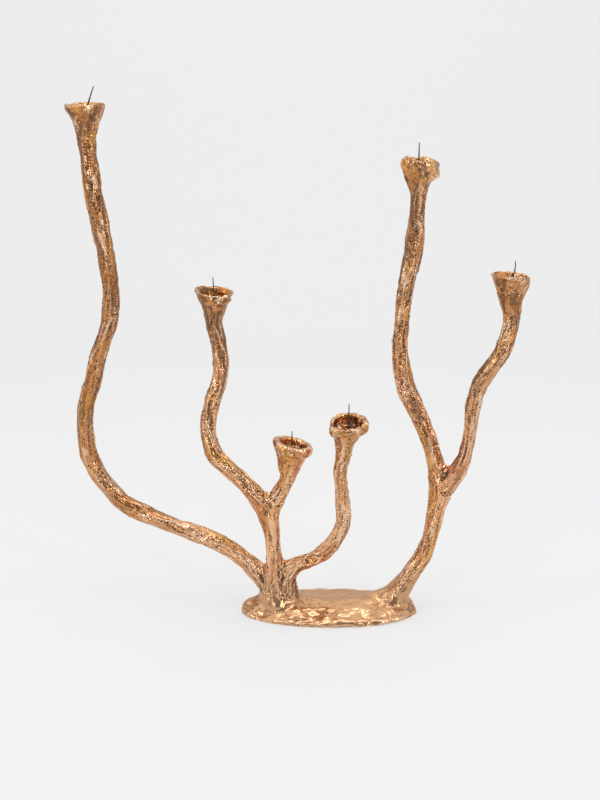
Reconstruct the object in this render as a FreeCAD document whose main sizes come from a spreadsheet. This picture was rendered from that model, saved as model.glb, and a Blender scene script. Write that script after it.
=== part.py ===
"""Six-light candelabra of cast bronze: a mound-shaped base, two branching trees and six pricket cups.

Frame: millimetres, +Z up, +X to the right and +Y to the back. The origin is on the table, under the middle of the base.
The stand is cast in sections. Each section has a turned tenon at its root end, and the tenon is brazed into a socket
in the section below it.
"""

import FreeCAD, Part
import Sketcher
import os

from FreeCAD import Rotation, Vector

doc = FreeCAD.newDocument("candelabra")

# --- Driving dimensions -----------------------------------------------------------------------------------------

SIZES = {
    # base casting, an oval mound with a ridge along its top
    "base_length": 184.0,
    "base_width": 76.0,
    "foot_edge": 3.5,  # height of the upright edge round the foot
    "ridge_height": 19.0,  # top of the mound above the table
    "ridge_inset_x": 18.0,  # from the foot's end to the ridge's end
    "ridge_inset_y": 27.0,  # from the foot's side to the ridge's side
    # felt under the base
    "felt_thickness": 2.0,
    "felt_proud": 0.6,  # how far the felt stands below the metal
    "felt_margin": 5.0,  # from the foot's outline to the felt's recess
    "felt_gap": 0.2,
    # where the two trees grow from the ridge, from each end of the base
    "left_root_inset": 34.0,
    "right_root_inset": 21.0,
    # the trees
    "arm_reach": 195.0,  # sideways, from the left root to the far-left arm's outermost bend
    "arm_depth": 34.0,  # furthest lean to the front
    "arm_rise": 475.0,  # from the ridge to the neck of the tallest cup
    "branch_radius": 8.4,
    # brazed joints between castings
    "tenon_radius": 4.0,
    "tenon_length": 9.0,
    "socket_gap": 0.1,
    # candle cups
    "cup_rim_radius": 19.0,
    "cup_bore_radius": 12.5,
    "cup_height": 24.0,
    "cup_depth": 9.0,
    "rim_band": 7.5,  # height of the upright band round the rim
    "rim_slope": 2.0,  # how far the rim's top falls towards the bore
    # steel prickets
    "pricket_radius": 0.85,
    "pricket_length": 25.0,  # above the floor of the cup, before the trimming in PRICKETS
    "pricket_point": 6.0,
    "pricket_end_radius": 0.15,
    "shank_radius": 1.5,
    "shank_length": 6.0,
}

sheet = doc.addObject("Spreadsheet::Sheet", "Sizes")
for row, (alias, value) in enumerate(SIZES.items(), start=1):
    sheet.set(f"A{row}", alias)
    sheet.set(f"B{row}", str(value))
    sheet.setAlias(f"B{row}", alias)
doc.recompute()


def size(alias):
    """The value of one cell of the sheet."""
    return float(getattr(sheet, alias))


# --- Where the limbs run ----------------------------------------------------------------------------------------
# A limb is a run of rings from the base or a fork up to a neck. Each ring is (x, y, z, girth): millimetres from the
# root that its tree grows from, and the ring's radius as a share of branch_radius. The trees keep this form when
# arm_reach, arm_depth and arm_rise change. A limb is cut into castings at the rings that JOINTS names.

LIMBS = {
    "far_left": [
        (0, 4, -1, 1.7),
        (-4, 4, 10, 1.45),
        (-14, 4, 22, 1.25),
        (-27, 6, 35.5, 1.09),
        (-48, 9, 50, 1.06),
        (-74, 13, 62, 1.03),
        (-116, 20, 76, 1.02),
        (-153, 26, 90.5, 1.09),
        (-176, 29, 113, 1.08),
        (-191, 30, 141, 1.06),
        (-195, 28, 173, 1.01),
        (-191, 24, 203, 0.98),
        (-177, 18, 248, 1.04),
        (-163.5, 12, 285, 0.94),
        (-158, 7, 314, 1.03),
        (-159, 3, 348, 0.97),
        (-163.5, 0, 383, 1.04),
        (-168, -2, 416, 1.1),
        (-170.5, -3, 445, 1.02),
        (-172, -3, 475, 1.03),
    ],
    "centre_left": [
        (3, -3, -10, 2.3),
        (2, -3, 6, 1.8),
        (1, -4, 28, 1.18),
        (-0.5, -5, 54, 0.9),
        (-1.5, -5, 74, 0.96),
        (-6, -4, 93, 1.22),
        (-16, -2, 110.5, 1.14),
        (-28, 1, 123.5, 1.04),
        (-44, 6, 137.5, 1.04),
        (-60, 12, 153, 1.0),
        (-66.5, 18, 177, 0.93),
        (-63.5, 22, 202, 0.94),
        (-56, 25, 221, 0.93),
        (-53, 27, 244, 0.93),
        (-56, 28, 267, 0.97),
        (-59.5, 28, 285, 0.99),
        (-59, 28, 296, 1.03),
    ],
    "centre_low": [
        (-3, -5, 84, 0.75),
        (2, -6, 107, 1.02),
        (9.5, -10, 123.5, 0.93),
        (15, -16, 140, 1.0),
        (17, -17.5, 152.5, 1.25),
    ],
    "middle": [
        (11, -2, -1, 1.8),
        (12, -2, 12, 1.5),
        (14, -3, 26, 1.22),
        (23, -5, 37, 0.99),
        (36, -8, 43.5, 0.94),
        (48, -12, 51.5, 0.96),
        (61, -17, 66.5, 0.97),
        (70, -22, 86, 0.93),
        (71.5, -26, 106, 0.89),
        (68.5, -30, 129, 0.82),
        (67, -32, 149, 0.84),
        (70, -32.5, 166, 0.86),
        (70.5, -34, 179, 0.98),
    ],
    "right_tall": [
        (-3, 2, -10, 2.0),
        (0, 2, 0, 1.55),
        (5.5, 2, 10, 1.3),
        (12, 2, 20, 1.12),
        (17, 2, 29, 1.08),
        (25.5, 2, 43, 1.02),
        (32, 3, 60, 1.02),
        (36.5, 4, 80, 1.03),
        (40, 5, 98, 1.08),
        (41, 6, 117, 1.2),
        (38.5, 8, 136, 1.07),
        (36.5, 9, 146, 1.04),
        (32, 12, 163, 1.02),
        (21, 17, 191, 1.09),
        (7.5, 21, 218, 1.12),
        (0.5, 23, 245, 1.02),
        (-1, 23, 274, 0.94),
        (1, 20, 307, 0.97),
        (5.5, 16, 340, 1.02),
        (9.5, 12, 368, 1.08),
        (10, 8, 394, 0.93),
        (10.5, 5, 413.5, 0.94),
        (10.5, 4, 425, 1.02),
    ],
    "right_low": [
        (38.5, 4.5, 90, 0.75),
        (46.5, 2, 116.5, 1.1),
        (53.5, -1, 130, 1.03),
        (60, -4, 143, 0.97),
        (65, -8, 159, 0.85),
        (67, -13, 180, 0.78),
        (68, -19, 208, 0.84),
        (72, -24, 233, 0.94),
        (83, -28, 253.5, 0.97),
        (93, -31, 272.5, 0.97),
        (97.5, -33, 293, 0.95),
        (98, -34, 310, 1.02),
        (97, -34, 320, 1.12),
    ],
}
RIGHT_TREE = ("right_tall", "right_low")

# Which casting each stretch of a limb belongs to, and the ring that it starts from.
JOINTS = {
    "far_left": [("base_casting", 0), ("left_arm", 3)],
    "centre_left": [("base_casting", 0), ("centre_stem", 3), ("centre_left_branch", 7)],
    "centre_low": [("centre_stem", 0), ("centre_low_branch", 2)],
    "middle": [("base_casting", 0), ("middle_arm", 4)],
    "right_tall": [("base_casting", 0), ("right_trunk", 4), ("right_tall_branch", 11)],
    "right_low": [("right_trunk", 0), ("right_low_branch", 3)],
}

# The prickets are cut and set by hand: each one's lean to the right in degrees, and its length as a share of
# pricket_length.
PRICKETS = {
    "far_left": (20.0, 1.1),
    "centre_left": (-3.0, 0.88),
    "centre_low": (0.0, 0.8),
    "middle": (1.5, 1.04),
    "right_tall": (0.0, 1.0),
    "right_low": (9.0, 0.86),
}

# The mound between foot and ridge: share of the climb, then the share of each inset used up there.
MOUND = [(0.0, 0.0, 0.0), (0.4, 0.22, 0.3), (0.74, 0.55, 0.63), (1.0, 1.0, 1.0)]
RIDGE_SET_BACK = 3.0  # the ridge lies this far behind the foot's middle

all_rings = [ring for limb in LIMBS.values() for ring in limb]
drawn_reach = max(abs(x) for x, y, z, girth in LIMBS["far_left"])
drawn_depth = max(abs(y) for x, y, z, girth in all_rings)
drawn_rise = max(z for x, y, z, girth in all_rings)


# --- Rings, lofts and joints ------------------------------------------------------------------------------------


def add(kind, name, **properties):
    """A document object whose properties are bound to expressions (text) or set as values."""
    thing = doc.addObject(kind, name)
    thing.Label = name
    for key, value in properties.items():
        if isinstance(value, str):
            thing.setExpression(key, value)
        else:
            setattr(thing, key, value)
    return thing


def ring_expressions(limb, ring):
    """Where a ring's centre is, as three expressions on the sheet."""
    x, y, z, girth = ring
    if limb in RIGHT_TREE:
        root = "Sizes.base_length / 2 - Sizes.right_root_inset"
    else:
        root = "Sizes.left_root_inset - Sizes.base_length / 2"
    return (
        f"{root} + {x / drawn_reach:.6f} * Sizes.arm_reach",
        f"{y / drawn_depth:.6f} * Sizes.arm_depth",
        f"Sizes.ridge_height + {z / drawn_rise:.6f} * Sizes.arm_rise",
    )


def turn_to(direction):
    """The rotation that takes +Z to a direction and keeps a ring's seam at the back."""
    return Rotation(Vector(0, 1, 0).cross(direction), Vector(0, 1, 0), direction, "ZYX")


def make_rings(limb):
    """One circle for each ring of a limb, square to the limb."""
    circles = []
    for number, ring in enumerate(LIMBS[limb]):
        circle = add("Part::Circle", f"{limb}_ring_{number}", Radius=f"{ring[3]} * Sizes.branch_radius")
        for axis, expression in zip("xyz", ring_expressions(limb, ring)):
            circle.setExpression(f".Placement.Base.{axis}", expression)
        circles.append(circle)
    doc.recompute()
    centres = [circle.Placement.Base for circle in circles]
    for number, circle in enumerate(circles):
        below = centres[max(number - 1, 0)]
        above = centres[min(number + 1, len(centres) - 1)]
        circle.Placement.Rotation = turn_to((above - below).normalize())
    doc.recompute()
    return circles


def loft(name, sections):
    """A solid skin through closed sections."""
    return add("Part::Loft", name, Sections=sections, Solid=True, Ruled=False)


def rod(name, ring, radius, length):
    """A cylinder on a ring's axis that runs from the ring towards the root."""
    backwards = f"{ring.Name}.Placement * placement(vector(0; 0; 0); rotation(vector(1; 0; 0); 180))"
    return add("Part::Cylinder", name, Radius=radius, Height=length, Placement=backwards)


def tenon(name, ring):
    return rod(name, ring, "Sizes.tenon_radius", "Sizes.tenon_length")


def socket(name, ring):
    """The hole for a tenon, with room all round and at its end."""
    return rod(
        name,
        ring,
        "Sizes.tenon_radius + Sizes.socket_gap",
        "Sizes.tenon_length + Sizes.socket_gap",
    )


castings = {}  # name of a casting: the solids that it is fused from
sockets = {}  # name of a casting: the holes that are bored in it
necks = {}  # name of a limb: the ring that its cup stands on

for limb, stretches in JOINTS.items():
    rings = make_rings(limb)
    necks[limb] = rings[-1]
    for number, (casting, start) in enumerate(stretches):
        last = number == len(stretches) - 1
        end = len(rings) - 1 if last else stretches[number + 1][1]
        castings.setdefault(casting, []).append(loft(f"{casting}_{limb}_skin", rings[start : end + 1]))
        sockets.setdefault(casting, []).append(socket(f"{casting}_{limb}_socket", rings[end]))
        if number > 0:
            castings[casting].append(tenon(f"{casting}_tenon", rings[start]))


# --- Base -------------------------------------------------------------------------------------------------------


def oval(name, inset_x, inset_y, height):
    """An ellipse inside the foot's outline, at a height above the table."""
    return add(
        "Part::Ellipse",
        name,
        **{
            "MajorRadius": f"Sizes.base_length / 2 - ({inset_x})",
            "MinorRadius": f"Sizes.base_width / 2 - ({inset_y})",
            ".Placement.Base.z": height,
        },
    )


def oval_plate(name, inset, bottom, thickness):
    """A flat plate with the foot's outline drawn in by an inset."""
    outline = oval(f"{name}_outline", inset, inset, bottom)
    up = Vector(0, 0, 1)
    plate = add("Part::Extrusion", name, Base=outline, Dir=up, LengthFwd=thickness, Solid=True)
    plate.DirMode = "Custom"
    return plate


def make_base():
    """The foot's upright edge and the mound above it. The roots are fused on later."""
    edge = oval_plate("foot", "0", "Sizes.felt_proud", "Sizes.foot_edge")
    foot_top = "(Sizes.felt_proud + Sizes.foot_edge)"
    levels = []
    for number, (climb, share_x, share_y) in enumerate(MOUND):
        level = oval(
            f"mound_level_{number}",
            f"{share_x} * Sizes.ridge_inset_x",
            f"{share_y} * Sizes.ridge_inset_y",
            f"{foot_top} + {climb} * (Sizes.ridge_height - {foot_top})",
        )
        level.Placement.Base.y = climb * RIDGE_SET_BACK
        levels.append(level)
    return [edge, loft("mound", levels)]


def make_felt():
    """The pad, and the recess in the base that it is glued into."""
    margin = "Sizes.felt_margin"
    recess_depth = "Sizes.felt_thickness - Sizes.felt_proud"
    recess = oval_plate("felt_recess", margin, "Sizes.felt_proud", recess_depth)
    pad = oval_plate("base_felt", f"{margin} + Sizes.felt_gap", "0", "Sizes.felt_thickness")
    return pad, recess


base_felt, felt_recess = make_felt()
castings["base_casting"] += make_base()
sockets["base_casting"].append(felt_recess)

parts = [base_felt]
for name, solids in castings.items():
    whole = solids[0] if len(solids) == 1 else add("Part::MultiFuse", f"{name}_blank", Shapes=solids)
    holes = sockets[name]
    tool = holes[0] if len(holes) == 1 else add("Part::MultiFuse", f"{name}_holes", Shapes=holes)
    parts.append(add("Part::Cut", name, Base=whole, Tool=tool))


# --- Cups and prickets ------------------------------------------------------------------------------------------


FLOOR_HEIGHT = "Sizes.cup_height - Sizes.cup_depth"  # the cup's floor above its neck


def cup_section(body, name, neck):
    """Half of a cup's section: tenon, flare, rim band, sloping rim, bore and floor."""
    corners = [  # distance from the axis, and height above the neck
        ("0", "-Sizes.tenon_length"),
        ("Sizes.tenon_radius", "-Sizes.tenon_length"),
        ("Sizes.tenon_radius", "0"),
        (f"{neck.Name}.Radius", "0"),
        ("Sizes.cup_rim_radius", "Sizes.cup_height - Sizes.rim_band"),
        ("Sizes.cup_rim_radius", "Sizes.cup_height"),
        ("Sizes.cup_bore_radius", "Sizes.cup_height - Sizes.rim_slope"),
        ("Sizes.cup_bore_radius", FLOOR_HEIGHT),
        ("0", FLOOR_HEIGHT),
    ]
    sketch = body.newObject("Sketcher::SketchObject", name)
    plane = next(feature for feature in body.Origin.OriginFeatures if feature.Role == "XZ_Plane")
    sketch.AttachmentSupport = (plane, [""])
    sketch.MapMode = "FlatFace"
    points = [
        Vector(float(sketch.evalExpression(across)), float(sketch.evalExpression(up)), 0)
        for across, up in corners
    ]
    for start, end in zip(points, points[1:] + points[:1]):
        sketch.addGeometry(Part.LineSegment(start, end))
    for number, point in enumerate(points):
        following = (number + 1) % len(points)
        sketch.addConstraint(Sketcher.Constraint("Coincident", number, 2, following, 1))
        for kind, axis, offset in (("DistanceX", -2, point.x), ("DistanceY", -1, point.y)):
            expression = corners[number][0 if kind == "DistanceX" else 1]
            if expression == "0":
                sketch.addConstraint(Sketcher.Constraint("PointOnObject", number, 1, axis))
                continue
            rule = Sketcher.Constraint(kind, -1, 1, number, 1, offset)
            sketch.setExpression(f"Constraints[{sketch.addConstraint(rule)}]", expression)
    return sketch


def make_cup(limb, neck):
    """A cup turned about the axis of the neck that it stands on."""
    body = add("PartDesign::Body", f"cup_{limb}_blank", Placement=f"{neck.Name}.Placement")
    sketch = cup_section(body, f"cup_{limb}_section", neck)
    doc.recompute()
    turned = body.newObject("PartDesign::Revolution", f"cup_{limb}_turned")
    turned.Profile = sketch
    turned.ReferenceAxis = (sketch, ["V_Axis"])
    turned.Angle = 360
    return body


def make_pricket(limb, neck):
    """A steel pin in the middle of the cup's floor, and the hole for its shank."""
    lean, share = PRICKETS[limb]
    turn = f"rotation(vector(0; 1; 0); {lean})"
    to_point = f"{share} * Sizes.pricket_length - Sizes.pricket_point"

    def placed(along):
        """A spot on the pricket's axis, a distance above the cup's floor."""
        floor = f"{neck.Name}.Placement * vector(0; 0; {FLOOR_HEIGHT})"
        return f"placement({floor}; {turn}) * placement(vector(0; 0; {along}); rotation(0; 0; 0))"

    shank_size = {"Radius": "Sizes.shank_radius", "Placement": placed("-Sizes.shank_length")}
    shank = add("Part::Cylinder", f"{limb}_shank", Height="Sizes.shank_length", **shank_size)
    needle = add(
        "Part::Cylinder",
        f"{limb}_needle",
        Radius="Sizes.pricket_radius",
        Height=to_point,
        Placement=placed("0"),
    )
    point = add(
        "Part::Cone",
        f"{limb}_point",
        Radius1="Sizes.pricket_radius",
        Radius2="Sizes.pricket_end_radius",
        Height="Sizes.pricket_point",
        Placement=placed(to_point),
    )
    pricket = add("Part::MultiFuse", f"pricket_{limb}", Shapes=[shank, needle, point])
    # A leaning shank's square end rises past the floor on one side, so its hole runs on upwards.
    clear_of_floor = "Sizes.shank_length + Sizes.shank_radius"
    hole = add("Part::Cylinder", f"{limb}_shank_hole", Height=clear_of_floor, **shank_size)
    return pricket, hole


for limb, neck in necks.items():
    blank = make_cup(limb, neck)
    pricket, hole = make_pricket(limb, neck)
    parts += [add("Part::Cut", f"cup_{limb}", Base=blank, Tool=hole), pricket]

doc.recompute()

# --- Check and write --------------------------------------------------------------------------------------------

for thing in doc.Objects:
    if "Invalid" in thing.State or "Error" in thing.State:
        raise RuntimeError(f"{thing.Label} did not recompute: {thing.State}")

os.makedirs("parts", exist_ok=True)
for part in parts:
    shape = part.Shape
    if shape.isNull() or not shape.isValid() or not shape.Solids:
        raise RuntimeError(f"{part.Label} is not a valid solid")
    shape.exportStep(f"parts/{part.Label}.step")
    print(f"{part.Label}: {len(shape.Solids)} solid(s), {shape.Volume / 1000:.2f} cm3")
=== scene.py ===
# %% [markdown]
# # A branching candelabra in cast bronze
# The stand is modelled the way a sculptor makes it. Long rolls of wax are bent and joined on a mound, six
# cups are pinched out of their ends, and the whole is cast in bronze and chased by hand. The notebook follows
# that order: rolls, cups, mound, one fused skin, hammer and file marks, then saw cuts where the founder joins
# the castings. The CAD model is loaded first, as a frame that gives every size and place. All lengths are in
# metres.

# %% Load the frame
import math
from collections import deque

import bmesh
import bpy
import numpy as np
from mathutils import Matrix, Vector
from mathutils.bvhtree import BVHTree


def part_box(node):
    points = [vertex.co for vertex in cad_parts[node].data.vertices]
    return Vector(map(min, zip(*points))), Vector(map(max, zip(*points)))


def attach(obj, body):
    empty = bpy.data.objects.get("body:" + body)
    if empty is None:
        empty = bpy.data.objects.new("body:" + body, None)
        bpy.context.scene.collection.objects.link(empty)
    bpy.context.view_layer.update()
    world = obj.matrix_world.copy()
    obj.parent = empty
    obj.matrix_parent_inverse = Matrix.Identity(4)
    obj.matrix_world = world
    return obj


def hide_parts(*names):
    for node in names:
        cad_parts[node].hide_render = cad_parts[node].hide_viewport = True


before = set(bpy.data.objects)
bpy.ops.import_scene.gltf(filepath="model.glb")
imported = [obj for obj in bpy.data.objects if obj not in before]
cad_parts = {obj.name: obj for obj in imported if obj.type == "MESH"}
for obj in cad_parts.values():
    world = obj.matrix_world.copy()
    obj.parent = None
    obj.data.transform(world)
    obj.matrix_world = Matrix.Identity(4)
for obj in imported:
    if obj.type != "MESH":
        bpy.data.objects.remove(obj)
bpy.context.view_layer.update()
MM = 0.001

# %% [markdown]
# ## A short way to write node trees
# Materials and Geometry Nodes trees are both graphs of nodes. Two small classes keep them readable. A `Wire` is
# one output socket, and arithmetic on it adds Math nodes, so `1 - hollow * 2` is a line of code and not six nodes
# placed by hand. A `Tree` has one method that makes any node, applies its settings first and then fills its
# inputs. Its `geo` and `shade` do the same for a geometry or shader node and give its first output.


# %% Wires and trees
class Wire:
    """One output socket of a node tree, with arithmetic."""

    def __init__(self, tree, socket):
        self.tree, self.socket = tree, socket

    def maths(self, operation, *values):
        return self.tree.shade("Math", dict(enumerate(values)), operation=operation)

    def __add__(self, other):
        return self.maths("ADD", self, other)

    def __sub__(self, other):
        return self.maths("SUBTRACT", self, other)

    def __rsub__(self, other):
        return self.maths("SUBTRACT", other, self)

    def __mul__(self, other):
        return self.maths("MULTIPLY", self, other)

    def __abs__(self):
        return self.maths("ABSOLUTE", self)

    __radd__, __rmul__ = __add__, __mul__

    def clamped(self):
        return self.maths("MAXIMUM", self.maths("MINIMUM", self, 1.0), 0.0)

    def ramp(self, low, high, to_low=0.0, to_high=1.0):
        """A smooth step from to_low at low to to_high at high."""
        inputs = {0: self, 1: low, 2: high, 3: to_low, 4: to_high}
        return self.tree.shade("MapRange", inputs, interpolation_type="SMOOTHSTEP")


class Tree:
    """A node tree. node adds a node to it, and geo and shade do so and give its first output."""

    def __init__(self, nodes_owner):
        self.tree = nodes_owner

    def node(self, kind, settings=None, inputs=None):
        node = self.tree.nodes.new(kind)
        for key, value in (settings or {}).items():
            setattr(node, key, value)
        sockets = [s for s in node.inputs if s.enabled]
        for key, value in (inputs or {}).items():
            socket = sockets[key] if isinstance(key, int) else next(s for s in sockets if s.name == key)
            if isinstance(value, Wire):
                self.tree.links.new(value.socket, socket)
            else:
                socket.default_value = value
        return [Wire(self, s) for s in node.outputs if s.enabled]

    def geo(self, kind, inputs=None, **settings):
        return self.node("GeometryNode" + kind, settings, inputs)[0]

    def shade(self, kind, inputs=None, **settings):
        return self.node("ShaderNode" + kind, settings, inputs)[0]

    def vector(self, operation, *values):
        return self.shade("VectorMath", dict(enumerate(values)), operation=operation)

    def scaled(self, vector, scale):
        return self.shade("VectorMath", {0: vector, 1: scale}, operation="SCALE")

    def noise(self, vector, size, detail=2.0, roughness=0.5):
        """Noise between 0 and 1 with lumps about one size across."""
        inputs = {"Vector": vector, "Scale": 1.0 / size, "Detail": detail, "Roughness": roughness}
        return self.shade("TexNoise", inputs)

    def grain(self, around, run, width, length, detail=1.0, seed=0.0):
        """Noise that follows a limb: lumps of one width, as an angle, and one length along the limb."""
        spot = self.scaled(around, 1.0 / width)
        inputs = {"Vector": spot, "W": run * (1.0 / length) + seed, "Scale": 1.0, "Detail": detail}
        return self.shade("TexNoise", inputs, noise_dimensions="4D")


def geometry_tree(name, sizes):
    """An empty Geometry Nodes tree with a geometry input and one named number for each size."""
    group = bpy.data.node_groups.new(name, "GeometryNodeTree")
    group.interface.new_socket("Geometry", in_out="INPUT", socket_type="NodeSocketGeometry")
    group.interface.new_socket("Geometry", in_out="OUTPUT", socket_type="NodeSocketGeometry")
    for size in sizes:
        group.interface.new_socket(size, in_out="INPUT", socket_type="NodeSocketFloat")
    tree = Tree(group)
    start = tree.node("NodeGroupInput")
    return tree, start[0], dict(zip(sizes, start[1:]))


def finish_tree(tree, geometry, material):
    """Ends a tree in Realize Instances, Set Material and the group's output."""
    geometry = tree.geo("RealizeInstances", {0: geometry})
    geometry = tree.geo("SetMaterial", {"Geometry": geometry, "Material": material})
    tree.node("NodeGroupOutput", {}, {0: geometry})
    return tree.tree


def applied(thing):
    """A plain mesh of an object with its modifiers applied. The object is removed."""
    mesh = bpy.data.meshes.new_from_object(thing.evaluated_get(bpy.context.evaluated_depsgraph_get()))
    bpy.data.objects.remove(thing)
    return mesh


def run_tree(thing, group, sizes):
    """What a Geometry Nodes tree makes of an object, as a plain mesh."""
    modifier = thing.modifiers.new("nodes", "NODES")
    modifier.node_group = group
    for socket in group.interface.items_tree:
        if socket.name in sizes:
            modifier[socket.identifier] = sizes[socket.name]
    return applied(thing)


def new_object(name, data):
    thing = bpy.data.objects.new(name, data)
    bpy.context.scene.collection.objects.link(thing)
    return thing


# %% [markdown]
# ## Bronze
# Polished bronze is a metal with a warm, rose-gold reflection. What makes it look hand-worked is the patina.
# The stand was darkened all over and then polished, so brown-black stays wherever the buff could not reach.
# The skin made below carries five measurements of its own shape. `hollow` is how far a point lies below its
# surroundings, `worn` is how far it stands out, `around` and `run` say where it lies on its limb, and `cup`
# is 1 on a cup. The material puts the patina in the hollows. It paints what stands out pale as a painted
# highlight, for the bright reflection that ridges and rims catch. Streaks of pale, gold and red bronze follow
# each limb, because the buff was pulled along it.

# %% Materials
def new_material(name):
    material = bpy.data.materials.new(name)
    material.use_nodes = True
    material.node_tree.nodes.clear()
    return material, Tree(material.node_tree)


def finish_material(tree, inputs):
    surface = tree.shade("BsdfPrincipled", inputs)
    tree.node("ShaderNodeOutputMaterial", {}, {"Surface": surface})


def mix_colours(tree, factor, first, second):
    return tree.shade("Mix", {"Factor": factor, "A": first, "B": second}, data_type="RGBA")


MOUND_BRONZE = (0.60, 0.345, 0.185, 1)
LOW_BRONZE = (0.85, 0.475, 0.255, 1)
HIGH_BRONZE = (0.48, 0.21, 0.068, 1)
PALE_BRONZE = (0.92, 0.63, 0.43, 1)
GOLD_BRONZE = (0.70, 0.33, 0.075, 1)
RED_BRONZE = (0.58, 0.22, 0.09, 1)
BROWN = (0.23, 0.105, 0.05, 1)
PATINA = (0.045, 0.032, 0.026, 1)


# Streaks along the limbs: colour, width as an angle, length, detail, seed, ramp's start and end, strength.
STREAKS = [
    (PALE_BRONZE, 0.9, 30 * MM, 2.0, 41.0, 0.50, 0.62, 0.75),
    (GOLD_BRONZE, 1.3, 60 * MM, 1.0, 3.0, 0.50, 0.64, 0.75),
    (RED_BRONZE, 1.1, 45 * MM, 1.0, 9.0, 0.48, 0.64, 0.7),
]
# The mound's colour fades out between these heights, and the darker colour of the high limbs fades in.
MOUND_FADE = (32 * MM, 60 * MM)
HIGH_FADE = (100 * MM, 380 * MM)
LEFT_FADE = (-200 * MM, -100 * MM)
VEIL_FADE = (60 * MM, 300 * MM)
BUMP_DEPTH = 1.0 * MM


def measured(tree, name, output=2):
    """One of the skin's own measurements: a number from output 2, or a vector from output 1."""
    return tree.node("ShaderNodeAttribute", {"attribute_name": name})[output]


def bronze_colour(tree, place, height, mound, tone, cup):
    """The polished metal's colour before any patina, with a painted highlight on what stands out, and the brown
    veil on it.
    """
    around, run, worn = measured(tree, "around", 1), measured(tree, "run"), measured(tree, "worn")
    colour = mix_colours(tree, tone, LOW_BRONZE, HIGH_BRONZE)
    colour = mix_colours(tree, mound, colour, MOUND_BRONZE)
    for streak, width, length, detail, seed, low, high, strength in STREAKS:
        share = tree.grain(around, run, width, length, detail, seed).ramp(low, high)
        colour = mix_colours(tree, share * (strength - mound * strength), colour, streak)
    specks = tree.noise(place, 3.2 * MM, 3.0, 0.6)
    film = tree.grain(around, run, 0.8, 50 * MM, 3.0, 17.0) + (specks - 0.5) * 0.5
    veil = film.ramp(0.49, 0.58) * height.ramp(*VEIL_FADE, 0.0, 0.95)
    colour = mix_colours(tree, veil, colour, BROWN)
    blotches = tree.noise(place, 11 * MM, 2.0)
    colour = mix_colours(tree, blotches.ramp(0.54, 0.60) * cup * 0.6, colour, GOLD_BRONZE)
    # Painted highlight: what stands out is mixed towards pale bronze, for the bright reflection on ridges and
    # rims.
    colour = mix_colours(tree, worn * (0.8 - mound * 0.3 - tone * 0.4), colour, PALE_BRONZE)
    return colour, veil, specks, blotches


def patina_depth(tree, place, mound, tone, cup, specks, blotches):
    """How much patina the buff left: in hollows, in thin veins along the limbs and in specks."""
    around, run, hollow = measured(tree, "around", 1), measured(tree, "run"), measured(tree, "hollow")
    vein = abs(tree.grain(around, run, 0.5, 16 * MM, 2.0, 23.0) - 0.5).ramp(0.003, 0.018, 1.0, 0.0)
    vein = vein * tree.noise(place, 13 * MM, 1.0).ramp(0.50, 0.64) * (1.0 - mound)
    unbuffed = hollow + vein * (0.5 + tone * 0.4) + (specks - 0.5) * (1.1 + tone * 0.4 - mound * 0.5)
    return unbuffed + blotches.ramp(0.36, 0.44, 0.25, 0.0) * cup


def make_bronze():
    material, tree = new_material("bronze_chased")
    place = tree.node("ShaderNodeTexCoord")[3]
    east, _, height = tree.node("ShaderNodeSeparateXYZ", {}, {0: place})
    around, run, cup = measured(tree, "around", 1), measured(tree, "run"), measured(tree, "cup")
    mound = height.ramp(*MOUND_FADE, 1.0, 0.0)
    tone = (height.ramp(*HIGH_FADE) * 0.85 + east.ramp(*LEFT_FADE, 0.8, 0.0)).clamped()
    colour, veil, specks, blotches = bronze_colour(tree, place, height, mound, tone, cup)
    unbuffed = patina_depth(tree, place, mound, tone, cup, specks, blotches)
    stain, dark = unbuffed.ramp(0.14, 0.66), unbuffed.ramp(0.66, 1.08)
    colour = mix_colours(tree, stain * 0.75, colour, BROWN)
    colour = mix_colours(tree, dark, colour, PATINA)
    grooves = tree.grain(around, run, 0.42, 24 * MM, 1.0, 31.0)
    dents = tree.noise(place, 6.0 * MM, 1.3, 0.5)
    relief = dents * (0.75 - mound * 0.15) + grooves * (1.0 - mound) * 1.5
    bump_inputs = {"Strength": 0.9, "Distance": BUMP_DEPTH, "Height": relief * (1.0 - cup * 0.35)}
    patches = tree.noise(place, 9 * MM, 3.0)
    roughness = 0.12 + mound * 0.06 + patches * 0.12 + veil * 0.05 + stain * 0.08 + dark * 0.2
    finish_material(
        tree,
        {
            "Base Color": colour,
            "Metallic": 1.0 - dark * 0.4,
            "Roughness": roughness,
            "Normal": tree.shade("Bump", bump_inputs),
        },
    )
    return material


bronze = make_bronze()
print("bronze nodes:", len(bronze.node_tree.nodes))

# %% [markdown]
# ## The limbs' courses
# Each limb is a run of rings from its root to the neck of its cup. They are the same rings as in the CAD
# source, (x, y, z, girth) in millimetres from the root that the tree grows from, and girth as a share of one
# radius. The cell ends by printing how far each neck lies from the middle of the CAD model's own cup.

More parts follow.
